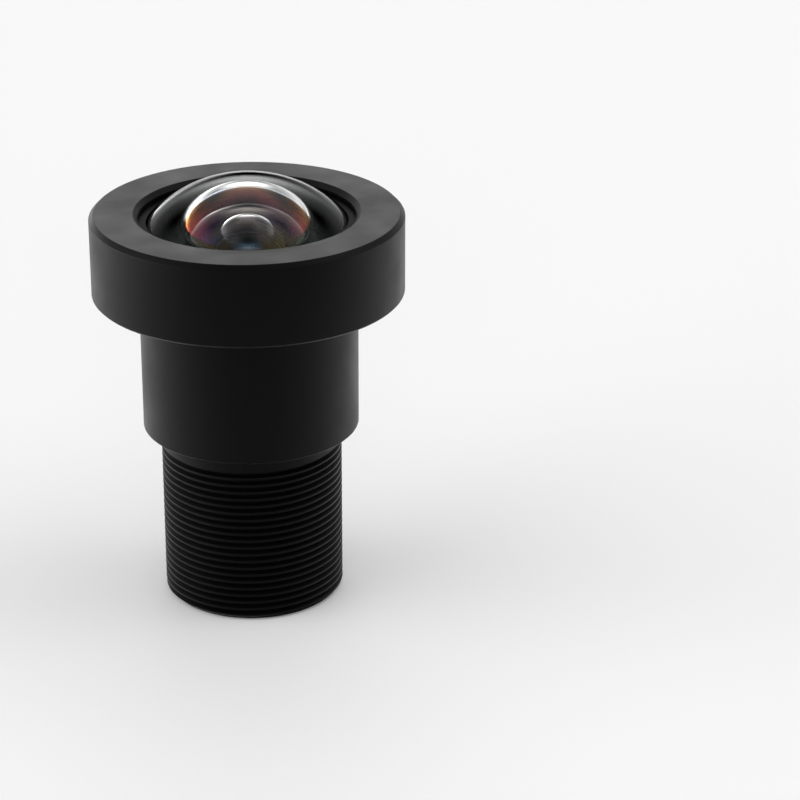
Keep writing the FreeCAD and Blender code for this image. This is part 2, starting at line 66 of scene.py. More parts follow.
# Outer radius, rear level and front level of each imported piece.
extents = {}
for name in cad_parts:
    low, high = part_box(name)
    extents[name] = (high.x / mm, low.z / mm, high.z / mm)


def outerRadius(name):
    return extents[name][0]


def rearLevel(name):
    return extents[name][1]


def frontLevel(name):
    return extents[name][2]


print("frame loaded:", len(extents), "pieces")


# Finishes

def newFinish(name, **sockets):
    material = bpy.data.materials.new(name)
    material.use_nodes = True
    shader = material.node_tree.nodes["Principled BSDF"]
    for socket, value in sockets.items():
        shader.inputs[socket.replace("_", " ")].default_value = value
    return material, material.node_tree, shader


anodised = {"colour": "030303", "gloss": "5e5e5e", "roughness": 0.42, "gritSize": 0.07, "gritDetail": 2.0,
            "gritRoughness": 0.6, "gritDepth": 0.002, "feed": 0.09, "feedDepth": 0.0006, "patchSize": 3,
            "patchDetail": 4.0, "patchLow": 0.3, "patchHigh": 0.7, "roughnessSpread": 0.05}


def blackAnodised():
    # Aluminium, finely blasted and dyed black: next to no gloss face on, a grey sheen at a glancing angle.
    material, tree, shader = newFinish(
        "blackAnodisedAluminium", Base_Color=linearColour(anodised["colour"]),
        Specular_Tint=linearColour(anodised["gloss"]))
    place = addNode(tree, "ShaderNodeTexCoord").outputs["Object"]
    grit = addNode(tree, "ShaderNodeTexNoise", {"Vector": place, "Scale": 1 / (anodised["gritSize"] * mm),
                                                "Detail": anodised["gritDetail"],
                                                "Roughness": anodised["gritRoughness"]})
    gritBump = addNode(tree, "ShaderNodeBump", {"Height": grit.outputs["Fac"], "Strength": 1.0,
                                                "Distance": anodised["gritDepth"] * mm})
    # Turning marks: the tool's feed shows as rings on the flat faces and on the round ones.
    axes = addNode(tree, "ShaderNodeSeparateXYZ", {0: place})
    flat = addNode(tree, "ShaderNodeCombineXYZ", {0: axes.outputs[0], 1: axes.outputs[1]})
    radius = addNode(tree, "ShaderNodeVectorMath", {0: flat.outputs[0]}, operation="LENGTH")
    along = addNode(tree, "ShaderNodeMath", {0: radius.outputs["Value"], 1: axes.outputs[2]}, operation="ADD")
    phase = addNode(tree, "ShaderNodeMath", {0: along.outputs[0], 1: fullTurn / (anodised["feed"] * mm)},
                    operation="MULTIPLY")
    rings = addNode(tree, "ShaderNodeMath", {0: phase.outputs[0]}, operation="SINE")
    ringBump = addNode(tree, "ShaderNodeBump", {"Height": rings.outputs[0], "Strength": 1.0,
                                                "Distance": anodised["feedDepth"] * mm,
                                                "Normal": gritBump.outputs["Normal"]})
    tree.links.new(ringBump.outputs["Normal"], shader.inputs["Normal"])
    # Handling leaves the finish a little uneven.
    patches = addNode(tree, "ShaderNodeTexNoise", {"Vector": place, "Scale": 1 / (anodised["patchSize"] * mm),
                                                   "Detail": anodised["patchDetail"]})
    spread = anodised["roughnessSpread"]
    rough = addNode(tree, "ShaderNodeMapRange", {"Value": patches.outputs["Fac"], 1: anodised["patchLow"],
                                                 2: anodised["patchHigh"],
                                                 3: anodised["roughness"] - spread,
                                                 4: anodised["roughness"] + spread})
    tree.links.new(rough.outputs[0], shader.inputs["Roughness"])
    return material


def grainedFinish(name, look, **sockets):
    # One even colour whose surface is broken by a fine grain: its size and depth in millimetres.
    material, tree, shader = newFinish(name, Base_Color=linearColour(look["colour"]),
                                       Roughness=look["roughness"], **sockets)
    place = addNode(tree, "ShaderNodeTexCoord").outputs["Object"]
    grain = addNode(tree, "ShaderNodeTexNoise", {"Vector": place, "Scale": 1 / (look["grain"] * mm),
                                                 "Detail": look["detail"]})
    bump = addNode(tree, "ShaderNodeBump", {"Height": grain.outputs["Fac"], "Distance": look["depth"] * mm})
    tree.links.new(bump.outputs["Normal"], shader.inputs["Normal"])
    return material


def coatedGlass(name, index, reflection, tint="ffffff", film=0.0, filmIndex=1.38):
    # Polished optical glass. Its coating leaves a faint coloured reflection and lets the rest through.
    material, tree, shader = newFinish(
        name, Base_Color=linearColour(tint), Transmission_Weight=1.0, Roughness=0.0, IOR=index,
        Specular_Tint=linearColour(reflection), Thin_Film_Thickness=film, Thin_Film_IOR=filmIndex)
    return material


filmLook = {"colour": "080808", "gloss": 0.15, "roughness": 0.7, "spread": 0.05, "haze": 0.4, "detail": 2.0,
            "hazeLow": 0.3, "hazeHigh": 0.7}


def shieldFilm():
    # Punched polyester film: even, matt black, so that the masks vanish behind the glass.
    f = filmLook
    material, tree, shader = newFinish("blackPolyesterFilm", Base_Color=linearColour(f["colour"]),
                                       Roughness=f["roughness"], Specular_IOR_Level=f["gloss"])
    place = addNode(tree, "ShaderNodeTexCoord").outputs["Object"]
    haze = addNode(tree, "ShaderNodeTexNoise", {"Vector": place, "Scale": 1 / (f["haze"] * mm),
                                                "Detail": f["detail"]})
    rough = addNode(tree, "ShaderNodeMapRange", {"Value": haze.outputs["Fac"], 1: f["hazeLow"],
                                                 2: f["hazeHigh"], 3: f["roughness"] - f["spread"],
                                                 4: f["roughness"] + f["spread"]})
    tree.links.new(rough.outputs[0], shader.inputs["Roughness"])
    return material


# Inner rings: turned, dyed black and left dull, so that they throw no light into the glass.
dullRing = {"colour": "0b0b0c", "roughness": 0.6, "grain": 0.08, "detail": 2.0, "depth": 0.003}
# Black lacquer on the ground edges and flat rims of the glass, slightly uneven where the brush left it.
lacquer = {"colour": "040404", "roughness": 0.5, "grain": 0.25, "detail": 3.0, "depth": 0.004}
# Fine ground bevel on a glass edge: frosted, so it shows as a faint line round the clear face.
groundBevel = {"colour": "343c34", "roughness": 0.6, "grain": 0.03, "detail": 1.0, "depth": 0.002}
# Moulded rubber: dull black with a very fine skin.
mouldedRubber = {"colour": "141414", "roughness": 0.75, "grain": 0.15, "detail": 3.0, "depth": 0.004}
# Clear adhesive with a faint amber cast and a wet, slightly wavy surface.
curedBead = {"colour": "d9c59a", "roughness": 0.12, "grain": 0.8, "detail": 1.0, "depth": 0.02}

blackMetal = blackAnodised()
dullMetal = grainedFinish("dullBlackRing", dullRing, Specular_IOR_Level=0.1)
edgeBlack = grainedFinish("blackEdgeLacquer", lacquer, Specular_IOR_Level=0.04)
groundEdge = grainedFinish("groundGlassBevel", groundBevel, Specular_IOR_Level=0.2)
rubber = grainedFinish("blackSealRubber", mouldedRubber, Specular_IOR_Level=0.35)
film = shieldFilm()
adhesive = grainedFinish("curedAmberAdhesive", curedBead, Transmission_Weight=0.85, IOR=1.5)
# Reflection colours, and film thicknesses in nanometres, were picked against the photograph.
frontGlassOuter = coatedGlass("frontGlassOuterCoating", 1.77, "3c5048")
frontGlassBowl = coatedGlass("frontGlassBowlCoating", 1.77, "b07c74", film=588.0)
secondGlassFront = coatedGlass("secondGlassFrontCoating", 1.65, "94783c")
secondGlassBowl = coatedGlass("secondGlassBowlCoating", 1.65, "616161")
innerGlass = coatedGlass("innerGlassCoating", 1.8, "616161")
filterGlass = coatedGlass("infraredCutFilterGlass", 1.52, "ff9a9a", "dff6f2")
print("finishes made")


# Turned shapes

def roundedOutline(corners, isLoop=True, steps=4):
    points = []
    count = len(corners)
    for index, corner in enumerate(corners):
        here = Vector(corner[:2])
        size = corner[2] if len(corner) > 2 else 0
        if not size or (not isLoop and index in (0, count - 1)):
            points.append(tuple(here))
            continue
        toBefore = (Vector(corners[index - 1][:2]) - here).normalized()
        toAfter = (Vector(corners[(index + 1) % count][:2]) - here).normalized()
        half = toBefore.angle(toAfter) / 2
        centre = here + (toBefore + toAfter).normalized() * size / math.sin(half)
        start = here + toBefore * size / math.tan(half) - centre
        end = here + toAfter * size / math.tan(half) - centre
        first = math.atan2(start.y, start.x)
        sweep = (math.atan2(end.y, end.x) - first + math.pi) % fullTurn - math.pi
        for step in range(steps + 1):
            angle = first + sweep * step / steps
            points.append((centre.x + size * math.cos(angle), centre.y + size * math.sin(angle)))
    return points


def sphereArc(radius, aperture, vertex, domeUp, steps):
    # Points of a spherical face from the axis out to its aperture.
    reach = math.asin(aperture / radius)
    side = 1 if domeUp else -1
    return [(radius * math.sin(reach * i / steps), vertex - side * radius * (1 - math.cos(reach * i / steps)))
            for i in range(steps + 1)]


def turnedMesh(name, spans, segments, sharpAngle=28):
    # spans are (points, finish number) pairs, each starting where the one before it ends.
    shape = bmesh.new()
    circle = [(math.cos(fullTurn * i / segments), math.sin(fullTurn * i / segments)) for i in range(segments)]
    rings = {}

    def ringAt(point):
        key = (round(point[0], 4), round(point[1], 4))
        if key not in rings:
            if key[0] == 0:
                rings[key] = [shape.verts.new((0, 0, point[1] * mm))]
            else:
                rings[key] = [shape.verts.new((point[0] * c * mm, point[0] * s * mm, point[1] * mm))
                              for c, s in circle]
        return rings[key]

    for points, finish in spans:
        for here, there in zip(points, points[1:]):
            first, second = ringAt(here), ringAt(there)
            if first is second:
                continue
            for i in range(segments):
                j = (i + 1) % segments
                corners = [first[i % len(first)], first[j % len(first)], second[j % len(second)],
                           second[i % len(second)]]
                corners = list(dict.fromkeys(corners))
                shape.faces.new(corners).material_index = finish
    bmesh.ops.recalc_face_normals(shape, faces=shape.faces)
    mesh = bpy.data.meshes.new(name)
    shape.to_mesh(mesh)
    shape.free()
    smooth(mesh, sharpAngle)
    return mesh


def smooth(mesh, sharpAngle):
    mesh.shade_smooth()
    mesh.set_sharp_from_angle(angle=math.radians(sharpAngle))


def addPiece(name, mesh, finishes, node):
    piece = bpy.data.objects.new(name, mesh)
    bpy.context.scene.collection.objects.link(piece)
    for finish in finishes:
        mesh.materials.append(finish)
    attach(piece, "root")
    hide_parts(node)
    return piece


# Barrel: one turned piece with an M12 x 0.5 thread on its nose

barrelSizes = {"noseRadius": 6.0, "shoulder": 11.9, "middleRadius": 7.15, "edgeBreak": 0.1, "rounding": 0.04,
               "pitch": 0.5, "threadDepth": 0.27, "threadTop": 11.1, "lead": 0.31, "rootShare": 0.13,
               "crestShare": 0.75, "lastTurn": 21.2, "fadeTurns": 0.35, "phase": 1 / 16, "columns": 16,
               "segments": 160, "glassGap": 0.03, "threadGap": 0.02, "relief": 0.2, "landThickness": 1.67,
               "landWidth": 0.4, "sealGap": 0.015, "seamBreak": 0.12, "rimBreak": 0.1, "fineRounding": 0.02,
               "merge": 0.001, "sliver": 0.0005, "sharpAngle": 28}


def barrelOutline():
    b = barrelSizes
    gap = b["glassGap"]
    head = rearLevel("front_cap")
    collar, top = outerRadius("barrel"), frontLevel("barrel")
    landRear = frontLevel("aperture_stop")
    landFront = landRear + b["landThickness"]
    secondStep = frontLevel("front_spacer") - b["relief"]
    groupStep = rearLevel("front_group_ring") - b["relief"]
    seat = rearLevel("front_light_shield")
    sealShelf = rearLevel("front_o_ring")
    ringBore = outerRadius("rear_retaining_ring") + b["threadGap"]
    ringStep = frontLevel("rear_light_shield") + b["relief"]
    doubletStep = frontLevel("rear_spacer") + b["relief"]
    fourthStep = frontLevel("doublet_flint") + b["relief"]
    rearBore = outerRadius("rear_element") + gap
    doubletBore = outerRadius("doublet_flint") + gap
    fourthBore = outerRadius("fourth_element") + gap
    land = outerRadius("fourth_element") - b["landWidth"]
    thirdBore = outerRadius("third_element") + gap
    secondBore = outerRadius("second_element") + gap
    groupBore = outerRadius("front_group_ring") + b["threadGap"]
    frontPocket = outerRadius("front_element") + gap
    sealBore = outerRadius("front_o_ring") + b["sealGap"]
    rounding = b["rounding"]
    return [
        (b["noseRadius"], b["threadTop"]),
        (b["noseRadius"], b["shoulder"], b["fineRounding"]),
        (b["middleRadius"] - b["edgeBreak"], b["shoulder"], rounding),
        (b["middleRadius"], b["shoulder"] + b["edgeBreak"], rounding),
        (b["middleRadius"], head),
        (collar - b["seamBreak"], head),
        (collar, head + b["seamBreak"]),
        (collar, top - b["seamBreak"]),
        (collar - b["seamBreak"], top),
        (sealBore, top),
        (sealBore, sealShelf),
        (frontPocket, sealShelf),
        (frontPocket, seat),
        (groupBore, seat),
        (groupBore, groupStep),
        (secondBore, groupStep),
        (secondBore, secondStep),
        (thirdBore, secondStep),
        (thirdBore, landFront),
        (land, landFront),
        (land, landRear),
        (fourthBore, landRear),
        (fourthBore, fourthStep),
        (doubletBore, fourthStep),
        (doubletBore, doubletStep),
        (rearBore, doubletStep),
        (rearBore, ringStep),
        (ringBore, ringStep),
        (ringBore, b["rimBreak"], b["fineRounding"]),
        (ringBore + b["rimBreak"], 0, b["fineRounding"]),
        (b["noseRadius"] - b["lead"], 0),
    ]


def threadTree(finish):
    # A grid wound up along the helix, so that its rows follow the crests and its columns go round the nose.
    tree = bpy.data.node_groups.new("cutThread", "GeometryNodeTree")
    tree.interface.new_socket("Turned body", in_out="INPUT", socket_type="NodeSocketGeometry")
    for name in ("Pitch", "Crest radius", "Depth", "Length", "Lead", "Root share", "Crest share", "Last turn",
                 "Fade turns", "Phase", "Merge"):
        tree.interface.new_socket(name, in_out="INPUT", socket_type="NodeSocketFloat")
    for name in ("Rows", "Turns", "Segments"):
        tree.interface.new_socket(name, in_out="INPUT", socket_type="NodeSocketInt")
    tree.interface.new_socket("Finish", in_out="INPUT", socket_type="NodeSocketMaterial")
    tree.interface.new_socket("Barrel", in_out="OUTPUT", socket_type="NodeSocketGeometry")
    given = addNode(tree, "NodeGroupInput").outputs
    acrossCount = addNode(tree, "ShaderNodeMath", {0: given["Segments"], 1: 1.0}, operation="ADD").outputs[0]
    alongCount = addNode(tree, "ShaderNodeMath", {0: given["Rows"], 1: 1.0}, operation="ADD").outputs[0]
    grid = addNode(tree, "GeometryNodeMeshGrid", {"Size X": 1.0, "Size Y": 1.0, "Vertices X": acrossCount,
                                                  "Vertices Y": alongCount})
    place = addNode(tree, "ShaderNodeSeparateXYZ", {0: addNode(tree, "GeometryNodeInputPosition").outputs[0]})
    around = addNode(tree, "ShaderNodeMath", {0: place.outputs[0], 1: 0.5}, operation="ADD").outputs[0]
    upward = addNode(tree, "ShaderNodeMath", {0: place.outputs[1], 1: 0.5}, operation="ADD").outputs[0]
    climb = addNode(tree, "ShaderNodeMath", {0: upward, 1: given["Turns"], 2: -1.0},
                    operation="MULTIPLY_ADD").outputs[0]
    turns = addNode(tree, "ShaderNodeMath", {0: climb, 1: around}, operation="ADD").outputs[0]
    rise = addNode(tree, "ShaderNodeMath", {0: turns, 1: given["Pitch"]}, operation="MULTIPLY").outputs[0]
    level = addNode(tree, "ShaderNodeClamp", {"Value": rise, "Min": 0.0, "Max": given["Length"]}).outputs[0]
    levelTurns = addNode(tree, "ShaderNodeMath", {0: level, 1: given["Pitch"]}, operation="DIVIDE").outputs[0]
    shifted = addNode(tree, "ShaderNodeMath", {0: levelTurns, 1: around}, operation="SUBTRACT").outputs[0]
    phase = addNode(tree, "ShaderNodeMath", {0: shifted, 1: given["Phase"]}, operation="ADD").outputs[0]
    # The wave runs from 0 in the middle of the root to 1 in the middle of the crest.
    share = addNode(tree, "ShaderNodeMath", {0: phase}, operation="FRACT").outputs[0]
    swing = addNode(tree, "ShaderNodeMath", {0: share, 1: 2.0, 2: -1.0}, operation="MULTIPLY_ADD").outputs[0]
    wave = addNode(tree, "ShaderNodeMath", {0: swing}, operation="ABSOLUTE").outputs[0]
    cut = addNode(tree, "ShaderNodeMapRange", {"Value": wave, 1: given["Root share"], 2: given["Crest share"],
                                               3: 1.0, 4: 0.0}).outputs[0]
    # The tool is drawn out of the work over part of a turn at the end of the groove.
    whole = addNode(tree, "ShaderNodeMath", {0: phase}, operation="FLOOR").outputs[0]
    along = addNode(tree, "ShaderNodeMath", {0: whole, 1: around}, operation="ADD").outputs[0]
    fadeStart = addNode(tree, "ShaderNodeMath", {0: given["Last turn"], 1: given["Fade turns"]},
                        operation="SUBTRACT").outputs[0]
    fade = addNode(tree, "ShaderNodeMapRange", {"Value": along, 1: fadeStart, 2: given["Last turn"], 3: 1.0,
                                                4: 0.0}, interpolation_type="SMOOTHSTEP").outputs[0]
    cutHere = addNode(tree, "ShaderNodeMath", {0: cut, 1: fade}, operation="MULTIPLY").outputs[0]
    depth = addNode(tree, "ShaderNodeMath", {0: cutHere, 1: given["Depth"]}, operation="MULTIPLY").outputs[0]
    threadRadius = addNode(tree, "ShaderNodeMath", {0: given["Crest radius"], 1: depth},
                           operation="SUBTRACT").outputs[0]
    leadStart = addNode(tree, "ShaderNodeMath", {0: given["Crest radius"], 1: given["Lead"]},
                        operation="SUBTRACT").outputs[0]
    leadRadius = addNode(tree, "ShaderNodeMath", {0: leadStart, 1: level}, operation="ADD").outputs[0]
    radius = addNode(tree, "ShaderNodeMath", {0: threadRadius, 1: leadRadius}, operation="MINIMUM").outputs[0]
    angle = addNode(tree, "ShaderNodeMath", {0: around, 1: fullTurn}, operation="MULTIPLY").outputs[0]
    cosine = addNode(tree, "ShaderNodeMath", {0: angle}, operation="COSINE").outputs[0]
    sine = addNode(tree, "ShaderNodeMath", {0: angle}, operation="SINE").outputs[0]
    sideways = addNode(tree, "ShaderNodeMath", {0: radius, 1: cosine}, operation="MULTIPLY").outputs[0]
    depthways = addNode(tree, "ShaderNodeMath", {0: radius, 1: sine}, operation="MULTIPLY").outputs[0]
    spot = addNode(tree, "ShaderNodeCombineXYZ", {0: sideways, 1: depthways, 2: level})
    wound = addNode(tree, "GeometryNodeSetPosition", {"Geometry": grid.outputs[0],
                                                      "Position": spot.outputs[0]})
    joined = addNode(tree, "GeometryNodeJoinGeometry")
    tree.links.new(given["Turned body"], joined.inputs[0])
    tree.links.new(wound.outputs[0], joined.inputs[0])
    merged = addNode(tree, "GeometryNodeMergeByDistance", {"Geometry": joined.outputs[0],
                                                           "Distance": given["Merge"]})
    real = addNode(tree, "GeometryNodeRealizeInstances", {"Geometry": merged.outputs[0]})
    finished = addNode(tree, "GeometryNodeSetMaterial", {"Geometry": real.outputs[0],
                                                         "Material": given["Finish"]})
    addNode(tree, "NodeGroupOutput", {0: finished.outputs[0]})
    return tree


def plainMesh(piece, tree, inputs, name):
    modifier = piece.modifiers.new(tree.name, "NODES")
    modifier.node_group = tree
    sockets = {item.name: item.identifier for item in tree.interface.items_tree if item.in_out == "INPUT"}
    for socket, value in inputs.items():
        modifier[sockets[socket]] = value
    bpy.context.view_layer.update()
    graph = bpy.context.evaluated_depsgraph_get()
    mesh = bpy.data.meshes.new_from_object(piece.evaluated_get(graph))
    mesh.name = name
    piece.modifiers.remove(modifier)
    return mesh


def makeBarrel():
    b = barrelSizes
    corners = barrelOutline()
    outline = roundedOutline(corners, isLoop=False)
    blank = bpy.data.objects.new("barrelBlank", turnedMesh("barrelBlank", [(outline, 0)], b["segments"]))
    bpy.context.scene.collection.objects.link(blank)
    turns = math.ceil(b["threadTop"] / b["pitch"]) + 1
    mesh = plainMesh(blank, threadTree(blackMetal), {
        "Pitch": b["pitch"] * mm, "Crest radius": b["noseRadius"] * mm, "Depth": b["threadDepth"] * mm,
        "Length": b["threadTop"] * mm, "Lead": b["lead"] * mm, "Root share": b["rootShare"],
        "Crest share": b["crestShare"], "Last turn": b["lastTurn"], "Fade turns": b["fadeTurns"],
        "Phase": b["phase"], "Rows": turns * b["columns"], "Turns": turns, "Segments": b["segments"],
        "Merge": b["merge"] * mm, "Finish": blackMetal}, "threadedBarrel")
    bpy.data.objects.remove(blank)
    shape = bmesh.new()
    shape.from_mesh(mesh)
    bmesh.ops.dissolve_degenerate(shape, dist=b["sliver"] * mm, edges=shape.edges)
    bmesh.ops.recalc_face_normals(shape, faces=shape.faces)
    openEdges = sum(1 for edge in shape.edges if len(edge.link_faces) != 2)
    shape.to_mesh(mesh)
    shape.free()
    smooth(mesh, b["sharpAngle"])
    mesh.materials.clear()
    addPiece("threadedBarrel", mesh, [blackMetal], "barrel")
    print("barrel made:", len(mesh.polygons), "faces,", openEdges, "open edges")


makeBarrel()


# Front cap

capSizes = {"topBreak": 0.3, "bottomBreak": 0.15, "lipRadius": 7.05, "lipBreak": 0.3, "lipThickness": 0.6,
            "bore": 8.52, "seamBreak": 0.12, "rounding": 0.06, "lipUnderRounding": 0.03, "segments": 256}


def makeFrontCap():
    c = capSizes
    radius, rear, front = extents["front_cap"]
    lipUnder = front - c["lipThickness"]
    corners = [
        (c["bore"] + c["seamBreak"], rear),
        (radius - c["bottomBreak"], rear, c["rounding"]),
        (radius, rear + c["bottomBreak"], c["rounding"]),
        (radius, front - c["topBreak"], c["rounding"]),
        (radius - c["topBreak"], front, c["rounding"]),
        (c["lipRadius"] + c["lipBreak"], front, c["rounding"]),
        (c["lipRadius"], front - c["lipBreak"], c["rounding"]),
        (c["lipRadius"], lipUnder, c["lipUnderRounding"]),
        (c["bore"], lipUnder),
        (c["bore"], rear + c["seamBreak"]),
    ]
    outline = roundedOutline(corners)
    mesh = turnedMesh("frontCap", [(outline + outline[:1], 0)], c["segments"])
    addPiece("frontCap", mesh, [blackMetal], "front_cap")


makeFrontCap()
print("front cap made")


# Glass

glassSizes = {
    "front": {"dome": 9.0, "clear": 6.55, "bowl": 5.2, "thickness": 1.2, "bevel": 0.15},
    "second": {"dome": 8.0, "clear": 4.18, "bowl": 3.2, "bowlDepth": 1.95, "step": 1.1, "edgeBevel": 0.1},
    "third": {"front": 25.2, "rear": 9.6, "clear": 4.0},
    "rear": {"front": 16.4, "rear": 18.7, "clear": 4.5},
    "rimRounding": 0.08,
    "innerRimRounding": 0.05,
    "segments": 256,
    "steps": 64,
}


def makeFrontElement():
    g = glassSizes["front"]
    steps = glassSizes["steps"]
    radius, rear, apex = extents["front_element"]
    dome = sphereArc(g["dome"], g["clear"], apex, True, steps)
    flat = dome[-1][1]
    bowlTop = apex - g["thickness"]
    depth = bowlTop - rear
    mouth = math.sqrt(2 * g["bowl"] * depth - depth ** 2)
    bowl = sphereArc(g["bowl"], mouth, bowlTop, True, steps)
    rounding = glassSizes["rimRounding"]
    rim = roundedOutline([dome[-1], (radius, flat, rounding), (radius, rear + g["bevel"]),
                          (radius - g["bevel"], rear), bowl[-1]], isLoop=False)
    mesh = turnedMesh("frontElement", [(dome, 0), (rim, 1), (bowl[::-1], 2)], glassSizes["segments"])
    addPiece("frontElement", mesh, [frontGlassOuter, edgeBlack, frontGlassBowl], "front_element")


def makeSecondElement():
    g = glassSizes["second"]
    steps = glassSizes["steps"]
    radius, rear, apex = extents["second_element"]
    face = sphereArc(g["dome"], g["clear"] - g["edgeBevel"], apex, True, steps // 2)
    edge = apex - g["dome"] + math.sqrt(g["dome"] ** 2 - g["clear"] ** 2)
    bevel = [face[-1], (g["clear"], face[-1][1] - g["edgeBevel"])]
    mouth = math.sqrt(2 * g["bowl"] * g["bowlDepth"] - g["bowlDepth"] ** 2)
    bowl = sphereArc(g["bowl"], mouth, rear + g["bowlDepth"], True, steps)
    rounding = glassSizes["rimRounding"]
    rim = roundedOutline([bevel[-1], (g["clear"], edge - g["step"]), (radius, edge - g["step"], rounding),
                          (radius, rear, rounding), bowl[-1]], isLoop=False)
    mesh = turnedMesh("secondElement", [(face, 0), (bevel, 3), (rim, 1), (bowl[::-1], 2)],
                      glassSizes["segments"])
    addPiece("secondElement", mesh, [secondGlassFront, edgeBlack, secondGlassBowl, groundEdge],
             "second_element")


def makeBiconvex(name, node, sizes):
    steps = glassSizes["steps"]
    radius, rear, front = extents[node]
    frontFace = sphereArc(sizes["front"], sizes["clear"], front, True, steps // 2)
    rearFace = sphereArc(sizes["rear"], sizes["clear"], rear, False, steps // 2)
    rounding = glassSizes["innerRimRounding"]
    rim = roundedOutline([frontFace[-1], (radius, frontFace[-1][1], rounding),
                          (radius, rearFace[-1][1], rounding), rearFace[-1]], isLoop=False)
    mesh = turnedMesh(name, [(frontFace, 0), (rim, 1), (rearFace[::-1], 0)], glassSizes["segments"])
    addPiece(name, mesh, [innerGlass, edgeBlack], node)


makeFrontElement()
makeSecondElement()
makeBiconvex("thirdElement", "third_element", glassSizes["third"])
makeBiconvex("rearElement", "rear_element", glassSizes["rear"])
print("glass made")


# Rings, filter and adhesive

ringSizes = {"merge": 0.0005, "sharpAngle": 30, "edgeBreak": 0.03, "filterBreak": 0.04, "beadSag": 0.03,
             "beadSteps": 8, "segments": 192}


def makeRing(name, node, finish):
    # A packed ring with its facets joined, its sharp edges broken and its round faces smoothed.
    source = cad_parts[node]
    shape = bmesh.new()
    shape.from_mesh(source.data)
    shape.transform(source.matrix_world)
    bmesh.ops.remove_doubles(shape, verts=shape.verts, dist=ringSizes["merge"] * mm)
    bmesh.ops.dissolve_limit(shape, angle_limit=math.radians(1), verts=shape.verts, edges=shape.edges)
    sharp = [edge for edge in shape.edges
             if edge.is_manifold and edge.calc_face_angle() > math.radians(ringSizes["sharpAngle"])]
    bmesh.ops.bevel(shape, geom=sharp, offset=ringSizes["edgeBreak"] * mm, segments=2, profile=0.5,
                    affect="EDGES", clamp_overlap=True)
    mesh = bpy.data.meshes.new(name)
    shape.to_mesh(mesh)
    openEdges = sum(1 for edge in shape.edges if len(edge.link_faces) != 2)
    shape.free()
    smooth(mesh, ringSizes["sharpAngle"])
    addPiece(name, mesh, [finish], node)
    print(name, "made:", len(mesh.polygons), "faces,", openEdges, "open edges")


def makeFilter():
    r = ringSizes
    radius, rear, front = extents["ir_cut_filter"]
    rim = [(radius - r["filterBreak"], rear), (radius, rear + r["filterBreak"]),
           (radius, front - r["filterBreak"]), (radius - r["filterBreak"], front)]
    mesh = turnedMesh("infraredFilter", [([(0, rear), rim[0]], 0), (rim, 0), ([rim[-1], (0, front)], 0)],
                      r["segments"])
    addPiece("infraredFilter", mesh, [filterGlass], "ir_cut_filter")


def makeAdhesive():
    # The bead hangs in a hollow curve from the filter's edge down to the wall of its pocket.
    r = ringSizes
    wall, rear, front = extents["filter_adhesive"]
    inner, filterRear = outerRadius("ir_cut_filter"), rearLevel("ir_cut_filter")
    steps = r["beadSteps"]
    bead = [(inner + (wall - inner) * i / steps,
             filterRear + (rear - filterRear) * i / steps + r["beadSag"] * math.sin(math.pi * i / steps))
            for i in range(steps + 1)]
    mesh = turnedMesh("filterAdhesive", [(bead + [(wall, front), (inner, front), bead[0]], 0)], r["segments"])
    addPiece("filterAdhesive", mesh, [adhesive], "filter_adhesive")


makeRing("frontGroupRing", "front_group_ring", dullMetal)
makeRing("frontSpacer", "front_spacer", dullMetal)
makeRing("rearRetainingRing", "rear_retaining_ring", dullMetal)
makeFilter()
makeAdhesive()

# The pieces that stay as packed are hidden in the stack, and only get their finishes.
innerFinishes = {
    "fourth_element": innerGlass, "doublet_flint": innerGlass, "doublet_crown": innerGlass,
    "front_o_ring": rubber, "front_light_shield": film, "rear_light_shield": film, "aperture_stop": dullMetal,
    "stop_spacer": dullMetal, "middle_spacer": dullMetal, "rear_spacer": dullMetal}
for node, finish in innerFinishes.items():
    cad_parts[node].data.materials.clear()
    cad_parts[node].data.materials.append(finish)


# Stage

stageSizes = {"floorReach": 1500, "floor": "fcfcfc"}


def makeFloor():
    reach = stageSizes["floorReach"] * mm
    mesh = bpy.data.meshes.new("floor")
    mesh.from_pydata([(-reach, -reach, 0), (reach, -reach, 0), (reach, reach, 0), (-reach, reach, 0)], [],
                     [(0, 1, 2, 3)])
    floor = bpy.data.objects.new("floor", mesh)
    bpy.context.scene.collection.objects.link(floor)
    material, tree, shader = newFinish("paleFloor", Base_Color=linearColour(stageSizes["floor"]),
                                       Specular_IOR_Level=0.0, Roughness=1.0)
    mesh.materials.append(material)


# Each panel is a soft light far away: its bearing and its reach to either side, the levels where it starts,
# is full and ends, all in degrees, and its strength. Bearing 0 is behind the lens and 90 on its right.
# The strengths were fitted to the photograph's brightness by another program, and some then changed by hand.
studioPanels = [
    (30, 30, -40, -6, 8, 1.87), (270, 30, -40, -6, 8, 29.7), (300, 30, -40, -6, 8, 17.6),
    (330, 30, -40, -6, 8, 7.7), (30, 30, -6, 8, 20, 0.528), (60, 30, -6, 8, 20, 1.01),
    (90, 30, -6, 8, 20, 2.64), (240, 30, -6, 8, 20, 6.6), (270, 30, -6, 8, 20, 3.3),
    (300, 30, -6, 8, 20, 1.76), (330, 30, -6, 8, 20, 0.715), (0, 30, 8, 20, 34, 2.64),
    (30, 30, 8, 20, 34, 0.319), (60, 30, 8, 20, 34, 0.396), (90, 30, 8, 20, 34, 2.31),
    (180, 30, 8, 20, 34, 5.28), (240, 30, 8, 20, 34, 2.42), (270, 30, 8, 20, 34, 3.41),
    (300, 30, 8, 20, 34, 0.374), (330, 30, 8, 20, 34, 0.275), (0, 45, 20, 34, 55, 1.41),
    (90, 45, 20, 34, 55, 0.858), (135, 45, 20, 34, 55, 0.902), (225, 45, 20, 34, 55, 1.03),
    (270, 45, 20, 34, 55, 1.44), (0, 90, 34, 55, 90, 1.25), (90, 90, 34, 55, 90, 1.69),
    (180, 90, 34, 55, 90, 0.8), (270, 90, 34, 55, 90, 0.869)]


